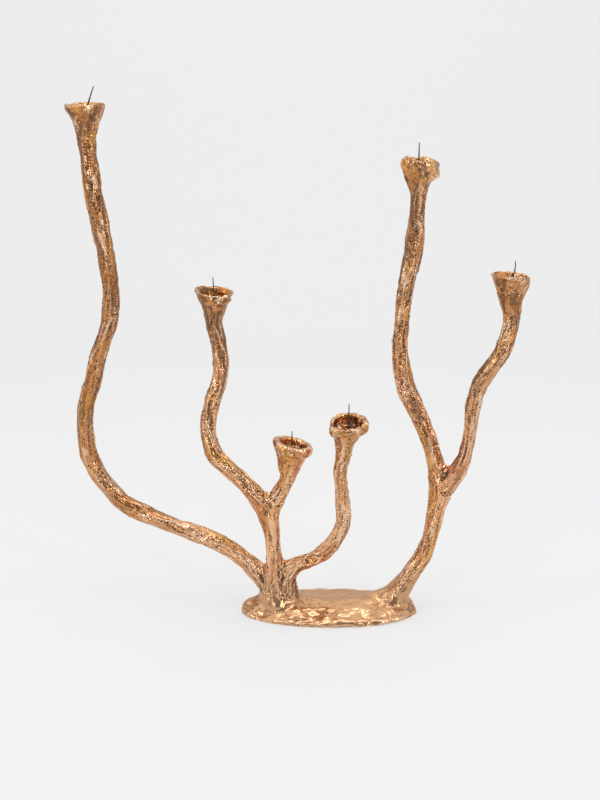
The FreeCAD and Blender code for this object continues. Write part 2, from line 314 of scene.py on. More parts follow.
# %% Rings
BRANCH_RADIUS = 8.4 * MM
ROOT_HEIGHT = 19 * MM
LEFT_ROOT = Vector((-58 * MM, 0, ROOT_HEIGHT))
RIGHT_ROOT = Vector((71 * MM, 0, ROOT_HEIGHT))
LIMBS = {
    "far_left": [
        (0, 4, -1, 1.7), (-4, 4, 10, 1.45), (-14, 4, 22, 1.25), (-27, 6, 35.5, 1.09), (-48, 9, 50, 1.06),
        (-74, 13, 62, 1.03), (-116, 20, 76, 1.02), (-153, 26, 90.5, 1.09), (-176, 29, 113, 1.08),
        (-191, 30, 141, 1.06), (-195, 28, 173, 1.01), (-191, 24, 203, 0.98), (-177, 18, 248, 1.04),
        (-163.5, 12, 285, 0.94), (-158, 7, 314, 1.03), (-159, 3, 348, 0.97), (-163.5, 0, 383, 1.04),
        (-168, -2, 416, 1.1), (-170.5, -3, 445, 1.02), (-172, -3, 475, 1.03),
    ],
    "centre_left": [
        (3, -3, -10, 2.3), (2, -3, 6, 1.8), (1, -4, 28, 1.18), (-0.5, -5, 54, 0.9), (-1.5, -5, 74, 0.96),
        (-6, -4, 93, 1.22), (-16, -2, 110.5, 1.14), (-28, 1, 123.5, 1.04), (-44, 6, 137.5, 1.04),
        (-60, 12, 153, 1.0), (-66.5, 18, 177, 0.93), (-63.5, 22, 202, 0.94), (-56, 25, 221, 0.93),
        (-53, 27, 244, 0.93), (-56, 28, 267, 0.97), (-59.5, 28, 285, 0.99), (-59, 28, 296, 1.03),
    ],
    "centre_low": [
        (-3, -5, 84, 0.75), (2, -6, 107, 1.02), (9.5, -10, 123.5, 0.93), (15, -16, 140, 1.0),
        (17, -17.5, 152.5, 1.25),
    ],
    "middle": [
        (11, -2, -1, 1.8), (12, -2, 12, 1.5), (14, -3, 26, 1.22), (23, -5, 37, 0.99), (36, -8, 43.5, 0.94),
        (48, -12, 51.5, 0.96), (61, -17, 66.5, 0.97), (70, -22, 86, 0.93), (71.5, -26, 106, 0.89),
        (68.5, -30, 129, 0.82), (67, -32, 149, 0.84), (70, -32.5, 166, 0.86), (70.5, -34, 179, 0.98),
    ],
    "right_tall": [
        (-3, 2, -10, 2.0), (0, 2, 0, 1.55), (5.5, 2, 10, 1.3), (12, 2, 20, 1.12), (17, 2, 29, 1.08),
        (25.5, 2, 43, 1.02), (32, 3, 60, 1.02), (36.5, 4, 80, 1.03), (40, 5, 98, 1.08), (41, 6, 117, 1.2),
        (38.5, 8, 136, 1.07), (36.5, 9, 146, 1.04), (32, 12, 163, 1.02), (21, 17, 191, 1.09),
        (7.5, 21, 218, 1.12), (0.5, 23, 245, 1.02), (-1, 23, 274, 0.94), (1, 20, 307, 0.97),
        (5.5, 16, 340, 1.02), (9.5, 12, 368, 1.08), (10, 8, 394, 0.93), (10.5, 5, 413.5, 0.94),
        (10.5, 4, 425, 1.02),
    ],
    "right_low": [
        (38.5, 4.5, 90, 0.75), (46.5, 2, 116.5, 1.1), (53.5, -1, 130, 1.03), (60, -4, 143, 0.97),
        (65, -8, 159, 0.85), (67, -13, 180, 0.78), (68, -19, 208, 0.84), (72, -24, 233, 0.94),
        (83, -28, 253.5, 0.97), (93, -31, 272.5, 0.97), (97.5, -33, 293, 0.95), (98, -34, 310, 1.02),
        (97, -34, 320, 1.12),
    ],
}

# The ring that each casting starts from.
CASTINGS = {
    "far_left": [("base_casting", 0), ("left_arm", 3)],
    "centre_left": [("base_casting", 0), ("centre_stem", 3), ("centre_left_branch", 7)],
    "centre_low": [("centre_stem", 0), ("centre_low_branch", 2)],
    "middle": [("base_casting", 0), ("middle_arm", 4)],
    "right_tall": [("base_casting", 0), ("right_trunk", 4), ("right_tall_branch", 11)],
    "right_low": [("right_trunk", 0), ("right_low_branch", 3)],
}


def rings_of(limb):
    """The centre and radius of each ring of a limb, in metres."""
    root = RIGHT_ROOT if limb.startswith("right") else LEFT_ROOT
    return [(root + Vector((x, y, z)) * MM, girth * BRANCH_RADIUS) for x, y, z, girth in LIMBS[limb]]


def direction_at(rings, number):
    """The way a limb runs at one of its rings."""
    below = rings[max(number - 1, 0)][0]
    above = rings[min(number + 1, len(rings) - 1)][0]
    return (above - below).normalized()


RINGS = {limb: rings_of(limb) for limb in LIMBS}
for limb, rings in RINGS.items():
    low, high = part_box(f"cup_{limb}")
    gap = rings[-1][0] - (low + high) / 2
    print(limb, "neck from the middle of its cup, mm:", round(gap.x / MM, 1), round(gap.y / MM, 1))

# %% [markdown]
# ## Rolled limbs
# A limb follows a path, so Geometry Nodes sweep it: a Catmull-Rom curve through the rings and a circle
# carried along it. Its skin is squeezed a little by a noise that changes slowly along the path, as a roll of
# wax is between fingers. The same path is also kept as a string of points, because the chisel marks that come
# later have to follow it.


# %% Limb tree
def course_nodes(tree, course):
    """A smooth curve through the rings, with each point's distance from the root stored as run."""
    course = tree.geo("CurveSplineType", {0: course}, spline_type="CATMULL_ROM")
    course = tree.geo("SetSplineResolution", {0: course, "Resolution": 16})
    course = tree.geo("ResampleCurve", {0: course, "Length": 1.0 * MM}, mode="LENGTH")
    return store(tree, course, "run", tree.node("GeometryNodeSplineParameter")[1])


def limb_tree():
    """A limb swept along its course, with Flat Height as a share of its radius."""
    tree, course, size = geometry_tree("rolled limb", ["Flat Height", "Offset"])
    course = course_nodes(tree, course)
    circle = tree.geo("CurvePrimitiveCircle", {"Resolution": 80, "Radius": 1.0})
    radius = tree.geo("InputRadius")
    course = store(tree, course, "girth", radius)
    circle = store(tree, circle, "turn", tree.geo("SplineParameter"))
    skin = tree.geo("CurveToMesh", {0: course, 1: circle, "Scale": radius, "Fill Caps": True})
    angle = named(tree, "turn") * math.tau
    around = tree.shade("CombineXYZ", {0: angle.maths("COSINE", angle), 1: angle.maths("SINE", angle)})
    squeeze = tree.grain(around, named(tree, "run") + size["Offset"], 1.3, 40 * MM)
    swell = (squeeze - 0.5) * size["Flat Height"] * named(tree, "girth")
    normal = tree.geo("InputNormal")
    skin = tree.geo("SetPosition", {0: skin, "Offset": tree.scaled(normal, swell)})
    return finish_tree(tree, skin, bronze)


def store(tree, geometry, name, value):
    inputs = {"Geometry": geometry, "Name": name, "Value": value}
    return tree.geo("StoreNamedAttribute", inputs, data_type="FLOAT")


def named(tree, name):
    return tree.geo("InputNamedAttribute", {"Name": name}, data_type="FLOAT")


def course_curve(name, rings):
    """A curve object through rings, with their radii."""
    curve = bpy.data.curves.new(f"{name}_course", "CURVE")
    curve.dimensions = "3D"
    spline = curve.splines.new("POLY")
    spline.points.add(len(rings) - 1)
    for point, (centre, radius) in zip(spline.points, rings):
        point.co = (*centre, 1)
        point.radius = radius
    return new_object(f"{name}_course", curve)


# Each limb reads the noise this much further on, in metres, so no two are alike.
LIMB_SHIFT = 0.7

limb_group = limb_tree()
blanks = []
for number, limb in enumerate(LIMBS):
    squeezing = {"Flat Height": 0.42, "Offset": LIMB_SHIFT * number}
    skin = run_tree(course_curve(limb, RINGS[limb]), limb_group, squeezing)
    blanks.append(skin)
    print(limb, "limb:", len(skin.polygons), "faces")

# Wax smeared from the mound up the inner side of the right root: x, y, z and radius in mm.
ROOT_FLOW = [(38, 0, 9, 10), (52, 1, 14, 9.5), (65, 2, 20, 9.5), (75, 2, 30, 9), (84, 2, 43, 8)]
flow_rings = [(Vector((x, y, z)) * MM, radius * MM) for x, y, z, radius in ROOT_FLOW]
flow_curve = course_curve("root_flow", flow_rings)
blanks.append(run_tree(flow_curve, limb_group, {"Flat Height": 0.3, "Offset": 5.0}))

# %% [markdown]
# ## Pinched cups
# Every cup was pinched by hand, so no two rims are alike. A cup is a lathe form whose outline changes with
# the angle: rings of points climb the flare, step out to the rim band, turn over the lip and go down into the
# bowl. Each cup has its own sizes, and a list of `pulls`, the places where fingers drew the rim out, up or
# down. An angle of 0 is to the right, 90 is to the back and 270 to the front.

# %% Cup shapes
CUP_POINTS = 128
# A cup's sizes in mm, in this order. A pull changes some of them round one side: angle, width and changes.
CUP_SIZES = ("radius", "height", "band", "lip", "flare", "under", "fold")
CUPS = {
    "far_left": {
        "sizes": (19.4, 25.5, 3.5, 3.0, 1.45, 0.0, 0.0),
        "tilt": (0.0, 0.6),
        "pulls": [
            (180, 50, {"out": -2.2}),
            (20, 30, {"out": 1.0, "band": 1.0}),
            (285, 24, {"rise": -0.8, "fold": 0.8}),
        ],
    },
    "centre_left": {
        "sizes": (18.0, 23.5, 3.0, 1.8, 1.2, 0.8, 0.6),
        "tilt": (-0.8, 1.4),
        "pulls": [
            (0, 26, {"out": 1.0, "rise": 0.0, "band": -0.6, "under": 1.4, "fold": 2.0, "lip": 0.8}),
            (270, 50, {"rise": -1.2, "band": 0.8, "fold": 0.8}),
            (175, 36, {"out": 1.9, "rise": 0.8}),
            (300, 14, {"rise": -0.8}),
        ],
    },
    "centre_low": {
        "sizes": (19.6, 23.5, 8.0, 5.4, 1.25, 1.3, 0.0),
        "tilt": (-0.6, -1.3),
        "pulls": [
            (180, 32, {"out": 0.8, "rise": 1.8, "band": -3.5, "under": -0.8}),
            (330, 50, {"out": 0.5, "band": 1.5, "under": 1.6}),
            (35, 30, {"out": 0.5, "rise": -0.8}),
            (235, 18, {"band": 1.5, "rise": 0.5}),
        ],
    },
    "middle": {
        "sizes": (19.2, 24.0, 6.0, 5.2, 1.7, 1.2, 0.0),
        "tilt": (0.6, 2.2),
        "lean": 3.2,
        "pulls": [
            (215, 30, {"out": 0.6, "rise": -1.4, "band": 3.5, "flare": 1.8, "under": 1.2}),
            (250, 12, {"rise": 1.4, "out": 0.8}),
            (330, 40, {"fold": 2.2, "rise": 0.6, "flare": -0.3}),
            (90, 50, {"rise": 0.6}),
        ],
    },
    "right_tall": {
        "sizes": (19.2, 24.5, 9.0, 4.8, 1.15, 0.8, 0.0),
        "tilt": (-0.4, 0.0),
        "pulls": [
            (350, 40, {"out": 1.2, "rise": -1.4, "band": 8.0, "flare": 1.4, "under": 3.2}),
            (265, 10, {"rise": -1.6, "out": -0.8}),
            (275, 60, {"rise": 2.0}),
            (180, 45, {"out": -2.2}),
            (225, 24, {"rise": 0.8, "out": -0.4}),
            (300, 20, {"rise": 1.0, "out": 0.8}),
        ],
    },
    "right_low": {
        "sizes": (18.2, 26.3, 3.0, 3.4, 1.1, 1.0, 0.0),
        "tilt": (-2.2, 0.3),
        "lean": 1.8,
        "pulls": [
            (190, 46, {"out": 1.8, "rise": 0.6, "band": -0.8, "under": 0.3}),
            (350, 44, {"out": -0.8, "rise": -1.8, "band": 8.0, "flare": 0.5, "under": 0.4}),
            (262, 26, {"out": 0.8, "under": 1.4}),
        ],
    },
}
BOWL_RADIUS, BOWL_DEPTH, CUP_FOOT, FLARE_START = 12.8, 9.0, -12.0, -7.0
# A leaning cup has moved its whole lean at this height above the neck, which is also where its bowl ends.
LEAN_HEIGHT = 15


def neck_frame(limb):
    """Right, back and up at the neck of a limb, and the neck's centre."""
    rings = RINGS[limb]
    up = direction_at(rings, len(rings) - 1)
    right = (Vector((1, 0, 0)) - up * up.x).normalized()
    turn = Matrix((right, up.cross(right), up)).transposed().to_4x4()
    return Matrix.Translation(rings[-1][0]) @ turn


def cup_rings(shape, neck):
    """The cup's rings from its foot, over the rim, to the floor of the bowl: arrays of (r, z) in mm."""
    angle = np.arange(CUP_POINTS) * math.tau / CUP_POINTS
    sizes = {**dict(zip(CUP_SIZES, shape["sizes"])), "out": 0.0, "rise": 0.0}
    size = {key: np.full(CUP_POINTS, value) for key, value in sizes.items()}
    for at, width, changes in shape["pulls"]:
        away = (np.degrees(angle) - at + 180) % 360 - 180
        for key, change in changes.items():
            size[key] = size[key] + change * np.exp(-((away / width) ** 2))
    phase = sizes["radius"] * 7
    wobble = 0.35 * np.sin(5 * angle + phase) + 0.25 * np.sin(8 * angle + 2 * phase)
    rim = size["radius"] + size["out"] + 0.5 * wobble
    top = size["height"] + size["rise"] + 0.6 * wobble
    top = top + (shape["tilt"][0] * np.cos(angle) + shape["tilt"][1] * np.sin(angle))
    band = np.maximum(size["band"], 1.4)
    flare = rim - np.maximum(size["under"], 0.0)
    rings = [(np.full(CUP_POINTS, neck * 0.75), np.full(CUP_POINTS, CUP_FOOT))]
    for share in np.linspace(0, 1, 25):
        level = FLARE_START + share * (top - band - FLARE_START)
        fold = size["fold"] * np.exp(-(((top - level - 8.0) / 1.5) ** 2))
        rings.append((neck + (flare - neck) * share ** size["flare"] + fold, level))
    inner = rim - size["lip"]
    bowl = np.full(CUP_POINTS, BOWL_RADIUS)
    floor = sizes["height"] - BOWL_DEPTH
    rings += [
        (rim - 0.3, top - band * 0.9),
        (rim + 0.1, top - band * 0.65),
        (rim + 0.15, top - band * 0.4),
        (rim - 0.1, top - np.minimum(band * 0.25, 0.9)),
        (rim - 0.6, top - 0.1),
        (rim * 0.6 + inner * 0.4, top + 0.15),
        (inner + 0.3, top - 0.2),
        (inner - 0.3, top - 0.9),
        (np.minimum(inner - 0.8, bowl + 2.0), top - 2.2),
        (np.minimum(inner - 1.2, bowl + 0.6), top * 0.5 + floor * 0.5),
        (np.minimum(inner - 1.5, bowl), np.full(CUP_POINTS, floor + 1.0)),
        (bowl - 1.2, np.full(CUP_POINTS, floor)),
    ]
    return angle, rings


def ring_faces(rings, steps):
    """The four-sided faces between neighbouring rings of points."""
    faces = []
    for ring in range(rings - 1):
        for k in range(steps):
            a, b = ring * steps + k, ring * steps + (k + 1) % steps
            faces.append((a, b, b + steps, a + steps))
    return faces


def make_cup(limb):
    """One closed cup, in its place on the neck."""
    shape = CUPS[limb]
    angle, rings = cup_rings(shape, RINGS[limb][-1][1] / MM)
    points = [np.stack([r * np.cos(angle), r * np.sin(angle), z], 1) for r, z in rings]
    poles = np.array([(0, 0, CUP_FOOT), (0, 0, rings[-1][1][0])])
    points = np.concatenate(points + [poles])
    points[:, 0] += shape.get("lean", 0.0) * np.clip(points[:, 2] / LEAN_HEIGHT, 0, 1) ** 1.5
    points = points * MM
    faces = ring_faces(len(rings), CUP_POINTS)
    last = (len(rings) - 1) * CUP_POINTS
    foot, floor = len(points) - 2, len(points) - 1
    for k in range(CUP_POINTS):
        following = (k + 1) % CUP_POINTS
        faces += [(foot, following, k), (floor, last + k, last + following)]
    mesh = bpy.data.meshes.new(f"{limb}_cup")
    mesh.from_pydata(points.tolist(), [], faces)
    mesh.transform(neck_frame(limb))
    return mesh


cups = [make_cup(limb) for limb in CUPS]
print("cups:", len(cups))

# %% [markdown]
# ## The mound
# The base casting's rough shape, an oval mound with its root stubs, is the CAD node itself. A CAD mesh is
# loose triangles, so a copy of it is merged before use. Its sockets fill up by themselves when the limbs are
# fused in.


# %% Mound
def merged_copy(node):
    work = bmesh.new()
    work.from_mesh(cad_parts[node].data)
    bmesh.ops.remove_doubles(work, verts=work.verts, dist=0.002 * MM)
    mesh = bpy.data.meshes.new(f"{node}_copy")
    work.to_mesh(mesh)
    work.free()
    return mesh


blanks.append(merged_copy("base_casting"))

# %% [markdown]
# ## A sawn twig
# Low on the middle arm a side twig was cut off. What is left is an oval stump that faces forwards, with a
# raised lip and a dished end. It is a short stack of oval rings on a stalk, and it is fused in with the rest.


# %% Stump
def oval_stump(centre, out, along, reach, half_length, half_width):
    """A closed oval stump from the middle of a limb to a little above its skin."""
    out = (out - along * out.dot(along)).normalized()
    side = along.cross(out)
    steps = 48
    outline = [
        (1.0, 0.0),
        (1.0, reach - 0.8),
        (0.97, reach),
        (0.86, reach + 0.2),
        (0.74, reach - 2.0),
        (0.4, reach - 3.0),
    ]
    points = []
    for scale, rise in outline:
        for k in range(steps):
            turn = math.tau * k / steps
            offset = along * half_length * math.cos(turn) + side * half_width * math.sin(turn)
            points.append(centre + (offset * scale + out * rise) * MM)
    faces = [tuple(reversed(range(steps))), *ring_faces(len(outline), steps)]
    faces.append(tuple(range(len(points) - steps, len(points))))
    mesh = bpy.data.meshes.new("stump")
    mesh.from_pydata([tuple(p) for p in points], [], faces)
    return mesh


arm = RINGS["middle"]
stump_centre = (arm[4][0] * 0.45 + arm[5][0] * 0.55)
STUMP_OUT = Vector((-0.1, -1.0, 0.30))
STUMP_REACH, STUMP_HALF_LENGTH, STUMP_HALF_WIDTH = 11.0, 10.5, 6.0
stump_size = (STUMP_REACH, STUMP_HALF_LENGTH, STUMP_HALF_WIDTH)
stump = oval_stump(stump_centre, STUMP_OUT, direction_at(arm, 4), *stump_size)
print("stump at, mm:", [round(v / MM) for v in stump_centre])

# %% [markdown]
# ## One fused skin
# The blanks overlap. A voxel remesh turns them into one closed skin, as the wax was one surface before it was
# cast. That leaves a sharp crease wherever two limbs meet, and a wax worker fills those with a warm spatula.
# The same is done here by swelling the skin by the radius of the wanted fillet, remeshing it, and shrinking
# it back: an outward corner comes back as it was, and an inward corner comes back filled.

# %% Fuse
VOXEL = 0.75 * MM
LIMB_FILLET, CUP_FILLET = 4.5 * MM, 1.2 * MM
UNDERSIDE_HEIGHT = 3 * MM


def fuse(meshes, fillet):
    """One closed skin round several overlapping closed meshes, with its creases filled to a radius."""
    work = bmesh.new()
    for mesh in meshes:
        work.from_mesh(mesh)
    whole = bpy.data.meshes.new("whole")
    work.to_mesh(whole)
    work.free()
    thing = new_object("whole", whole)
    for step, swell in enumerate((0.0, fillet, -fillet)):
        if swell:
            displace = thing.modifiers.new(f"swell {step}", "DISPLACE")
            displace.strength, displace.mid_level = swell, 0.0
        remesh = thing.modifiers.new(f"fuse {step}", "REMESH")
        remesh.mode, remesh.voxel_size = "VOXEL", VOXEL
    return applied(thing)


def point_array(mesh):
    values = np.empty(len(mesh.vertices) * 3, dtype=np.float32)
    mesh.vertices.foreach_get("co", values)
    return values.reshape(-1, 3)


def flatten_underside(mesh):
    """Puts the underside back on the CAD base, because the filling rounds the recess for the felt."""
    base = merged_copy("base_casting")
    surface = BVHTree.FromPolygons([v.co for v in base.vertices], [p.vertices for p in base.polygons])
    normals = np.empty(len(mesh.vertices) * 3, dtype=np.float32)
    mesh.vertex_normals.foreach_get("vector", normals)
    points = point_array(mesh)
    faces_down = normals.reshape(-1, 3)[:, 2] < -0.5
    below = np.flatnonzero((points[:, 2] < UNDERSIDE_HEIGHT) & faces_down)
    for number in below:
        points[number] = surface.find_nearest(Vector(points[number].tolist()))[0]
    mesh.vertices.foreach_set("co", points.ravel())
    mesh.update()
    print("points put back on the underside:", len(below))


stand = fuse(blanks, LIMB_FILLET)
fused = fuse([stand, *cups, stump], CUP_FILLET)
flatten_underside(fused)
print("fused skin:", len(fused.vertices), "points")


# %% [markdown]
# ## Chasing
# After casting, the stand is worked over with chisels and files, and one Geometry Nodes tree does that to the
# fused skin. The limbs' own paths are kept as a string of points, and each point of the skin looks up the
# nearest of them. That tells it which way is out from its limb (`around`), how far along the limb it lies
# (`run`) and whether it belongs to a cup (`cup`), so that marks can run along each limb as a file does. The
# tree first melts the creases where limbs meet. Then it presses long flats in, raises thin ribs, cuts thin
# ruts and adds soft lumps, and it lays broad folds over the mound, as wax sags on a table. Last, it compares
# each point with a blurred copy of the skin. What lies below keeps its patina (`hollow`). How far a point
# stands out (`worn`) is what the material paints pale, as a painted highlight on ridges and rims.


# %% Chasing helpers
CREASE_STEPS, FINE_STEPS, BROAD_STEPS = 110, 8, 40
CREASE_DEPTH = (0.3 * MM, 1.0 * MM)
# The depths below the blurred skin that count as fully hollow, for fine marks and for broad ones.
FINE_DEPTH, BROAD_DEPTH = 0.11 * MM, 0.7 * MM
FOLD_SIZE = (24 * MM, 13 * MM, 12 * MM)
DRIP_SIZE = (13 * MM, 9 * MM, 5 * MM)


def blurred(tree, value, kind, steps):
    return tree.geo("BlurAttribute", {"Value": value, "Iterations": steps}, data_type=kind)


def depth_below(tree, steps):
    """How far a point lies below the blurred surface round it, in metres, and its place on that surface."""
    position = tree.geo("InputPosition")
    normal = tree.geo("InputNormal")
    smooth = blurred(tree, position, "FLOAT_VECTOR", steps)
    return tree.vector("DOT_PRODUCT", tree.vector("SUBTRACT", smooth, position), normal), smooth


def follow_courses(tree, string):
    """How a point lies to the nearest limb: the way out from it, the run along it, and if it is a cup."""
    nearest = tree.geo("SampleNearest", {0: string}, domain="POINT")

    def sample(kind, value):
        inputs = {0: string, "Value": value, "Index": nearest}
        return tree.geo("SampleIndex", inputs, data_type=kind, domain="POINT")

    position = tree.geo("InputPosition")
    away = tree.vector("SUBTRACT", position, sample("FLOAT_VECTOR", position))
    around = tree.vector("NORMALIZE", away)
    return around, sample("FLOAT", named(tree, "run")), sample("FLOAT", named(tree, "cup"))


def store_courses(tree, skin, courses):
    """Stores around, run and cup, and seam, which is 1 where the nearest limb changes."""
    string = tree.node("GeometryNodeObjectInfo", {}, {"Object": courses})[-1]
    around, run, cup = follow_courses(tree, string)
    inputs = {0: skin, "Name": "around", "Value": around}
    skin = tree.geo("StoreNamedAttribute", inputs, data_type="FLOAT_VECTOR")
    skin = store(tree, skin, "run", run)
    skin = store(tree, skin, "cup", blurred(tree, cup, "FLOAT", 6))
    around = tree.geo("InputNamedAttribute", {"Name": "around"}, data_type="FLOAT_VECTOR")
    agree = tree.vector("LENGTH", blurred(tree, around, "FLOAT_VECTOR", 24))
    return store(tree, skin, "seam", agree.ramp(0.70, 0.90, 1.0, 0.0)), around


def soften_creases(tree, skin):
    """Melts the skin into its own blur wherever it is creased, and stores how much as web."""
    depth, smooth = depth_below(tree, CREASE_STEPS)
    crease = blurred(tree, depth.ramp(*CREASE_DEPTH), "FLOAT", 40) * (1.0 - named(tree, "cup"))
    position = tree.geo("InputPosition")
    soft = tree.shade("Mix", {"Factor": crease, "A": position, "B": smooth}, data_type="VECTOR")
    skin = store(tree, skin, "web", crease)
    return tree.geo("SetPosition", {0: skin, "Position": soft})


def chisel_lines(tree, around, run, length, seed, width, angle=0.40):
    """Thin lines along a limb, where a grain noise crosses its middle value."""
    return abs(tree.grain(around, run, angle, length, 1.0, seed) - 0.5).ramp(0.0, width, 1.0, 0.0)


def stretched_noise(tree, position, sizes, detail):
    """Noise whose lumps have a size of their own in x, y and z."""
    spot = tree.vector("MULTIPLY", position, tuple(1 / size for size in sizes))
    return tree.noise(spot, 1.0, detail)


# %% Chasing tree
def chasing_tree(courses):
    sizes = ["Facet Height", "Groove Depth", "Lump Height", "Fold Height"]
    tree, skin, size = geometry_tree("chased skin", sizes)
    skin, around = store_courses(tree, skin, courses)
    skin = soften_creases(tree, skin)
    run, cup, seam, web = (named(tree, name) for name in ("run", "cup", "seam", "web"))

    position = tree.geo("InputPosition")
    height = tree.node("ShaderNodeSeparateXYZ", {}, {0: position})[2]
    above_foot = height.ramp(1.2 * MM, 3.5 * MM)
    on_mound = height.ramp(17 * MM, 30 * MM, 1.0, 0.0)
    plain = (1.0 - on_mound) * (1.0 - web * 0.8) * (1.0 - seam)
    facets = abs(tree.grain(around, run, 1.25, 46 * MM, 1.0, 1.0) - 0.5).ramp(0.0, 0.16)
    facets = (0.35 - facets) * size["Facet Height"] * plain
    ruts = chisel_lines(tree, around, run, 17 * MM, 5.0, 0.05, 0.42)
    ruts = ruts * tree.noise(position, 22 * MM, 1.0).ramp(0.42, 0.60) * size["Groove Depth"]
    ribs = chisel_lines(tree, around, run, 20 * MM, 8.0, 0.045)
    ribs = ribs * tree.noise(position, 26 * MM, 1.0).ramp(0.44, 0.60) * size["Groove Depth"] * 0.8 * plain
    lumps = (tree.noise(position, 7 * MM, 2.0, 0.5) - 0.5) * size["Lump Height"]
    lumps = lumps * (1.0 - on_mound * 0.5 - cup * 0.3)
    low_down = height.ramp(8 * MM, 20 * MM, 1.0, 0.35)
    folds = stretched_noise(tree, position, FOLD_SIZE, 0.5) - 0.5
    folds = folds * on_mound * low_down * size["Fold Height"]
    drips = stretched_noise(tree, position, DRIP_SIZE, 0.0)
    folds = folds + (drips - 0.5) * on_mound * low_down * size["Fold Height"] * 0.35
    normal = tree.geo("InputNormal")
    level = tree.shade("CombineXYZ", {0: 1.0, 1: 1.0, 2: above_foot})
    push = facets + ribs - ruts * (1.0 - on_mound * 0.7) * (1.0 - seam) + lumps + folds
    offset = tree.scaled(tree.vector("MULTIPLY", normal, level), push)
    skin = tree.geo("SetPosition", {0: skin, "Offset": offset})

    fine = depth_below(tree, FINE_STEPS)[0] * (0.6 / FINE_DEPTH)
    broad = depth_below(tree, BROAD_STEPS)[0] * (0.3 / BROAD_DEPTH)
    # How far a point stands out, which the material paints pale as a painted highlight.
    skin = store(tree, skin, "worn", (0.0 - fine).ramp(0.95, 2.1))
    hollow = fine * (1.0 - cup * 0.6) + broad * (1.0 - cup * 0.85)
    hollow = hollow * (1.0 - on_mound * 0.5 - seam * 0.3)
    skin = store(tree, skin, "hollow", hollow.clamped())
    return finish_tree(tree, skin, bronze)


# How far, in mm, a side branch runs inside its trunk.
SIDE_BRANCH_START = {"centre_low": 32, "right_low": 34}


def courses_object():
    """The limbs' courses as loose points, a little longer than the limbs, with run and cup on each point.

    The stump has a point of its own, which counts as a cup, so that its dished end isn't melted away.
    """
    tree, course, _ = geometry_tree("course points", [])
    course = course_nodes(tree, course)
    points = tree.geo("CurveToMesh", {0: course})
    group = finish_tree(tree, points, bronze)
    places, runs, cups = [], [], []
    for number, limb in enumerate(LIMBS):
        mesh = run_tree(course_curve(limb, RINGS[limb]), group, {})
        tip, up = RINGS[limb][-1][0], direction_at(RINGS[limb], len(RINGS[limb]) - 1)
        inside = SIDE_BRANCH_START.get(limb, 0)
        beyond = [tip + up * k * MM for k in range(1, 9)]
        line = [v.co.copy() for v in mesh.vertices][inside:] + beyond
        places += line
        runs += [LIMB_SHIFT * number + k * MM for k in range(len(line))]
        cups += [0.0] * (len(line) - 1) + [1.0]
    places.append(stump_centre + STUMP_OUT.normalized() * 11 * MM)
    runs.append(0.0)
    cups.append(1.0)
    mesh = bpy.data.meshes.new("courses")
    mesh.from_pydata(places, [], [])
    for name, values in (("run", runs), ("cup", cups)):
        mesh.attributes.new(name, "FLOAT", "POINT").data.foreach_set("value", values)
    return new_object("courses", mesh)


courses = courses_object()
CHASING = {
    "Facet Height": 1.4 * MM,
    "Groove Depth": 0.75 * MM,
    "Lump Height": 1.6 * MM,
    "Fold Height": 7.0 * MM,
}
chased = run_tree(new_object("fused", fused), chasing_tree(courses), CHASING)
bpy.data.objects.remove(courses)
print("chased skin:", len(chased.polygons), "faces; attributes", [a.name for a in chased.attributes][:8])

# %% [markdown]
# ## Saw cuts
# A founder casts this in sections and joins them, so each section is a piece of its own. A bisect cuts the
# skin at each joint of the CAD model, but only near that joint, or the endless plane would go through other
# limbs too. The cut edges then act as fences: a flood of numbers spreads over the faces and stops at them,
# and each flooded patch is one piece. Neighbours keep the same edge, so the joint can't be seen, and each
# open end is capped.

# %% Joints
joints = []
for limb, castings in CASTINGS.items():
    rings = RINGS[limb]
    for number in [start for _, start in castings[1:]] + [len(rings) - 1]:
        joints.append((rings[number][0], direction_at(rings, number), rings[number][1]))

probes = {f"cup_{limb}": neck_frame(limb) @ Vector((0, -14 * MM, 14 * MM)) for limb in LIMBS}
probes["base_casting"] = Vector((0, 0, ROOT_HEIGHT))
for limb, castings in CASTINGS.items():
    name, start = castings[-1]
    probes[name] = RINGS[limb][start + 1][0]
probes["centre_stem"] = RINGS["centre_left"][4][0]
probes["right_trunk"] = RINGS["right_tall"][6][0]
print(len(joints), "joints,", len(probes), "bronze pieces")


# %% Cut and flood
# How far a cut reaches, as a share of the limb's radius, and how near a point counts as on the plane.
JOINT_REACH, SNAP = 1.9, 1e-4 * MM


def cut_at_joints(work):
    """Splits the faces that cross each joint, and gives the edges between its two sides."""
    fences = set()
    for centre, along, radius in joints:
        near = {f for f in work.faces if (f.calc_center_median() - centre).length < JOINT_REACH * radius}
        geometry = near | {e for f in near for e in f.edges} | {v for f in near for v in f.verts}
        plane = {"plane_co": centre, "plane_no": along, "dist": SNAP}
        cut = bmesh.ops.bisect_plane(work, geom=list(geometry), **plane)
        faces = [part for part in cut["geom"] if isinstance(part, bmesh.types.BMFace)]
        side = {face: (face.calc_center_median() - centre).dot(along) > 0 for face in faces}
        for edge in {e for face in faces for e in face.edges}:
            if len({side[face] for face in edge.link_faces if face in side}) == 2:
                fences.add(edge)
    return fences


def flood(work, fences):
    """Numbers each face by the fenced patch that it lies in."""
    patch = work.faces.layers.int.new("patch")
    count = 0
    for start in work.faces:
        if start[patch]:
            continue
        count += 1
        start[patch] = count
        queue = deque([start])
        while queue:
            for edge in queue.popleft().edges:
                if edge in fences:
                    continue
                for face in edge.link_faces:
                    if not face[patch]:
                        face[patch] = count
                        queue.append(face)
    return patch, count


work = bmesh.new()
work.from_mesh(chased)
fences = cut_at_joints(work)
patch_layer, patches = flood(work, fences)
bmesh.ops.triangulate(work, faces=work.faces)
work.faces.ensure_lookup_table()
tree_of_faces = BVHTree.FromBMesh(work)
patch_names = {}
for name, spot in probes.items():
    patch_names[work.faces[tree_of_faces.find_nearest(spot)[2]][patch_layer]] = name
missing = sorted(set(probes) - set(patch_names.values()))
print("patches:", patches, "named:", len(patch_names), "missing:", missing)


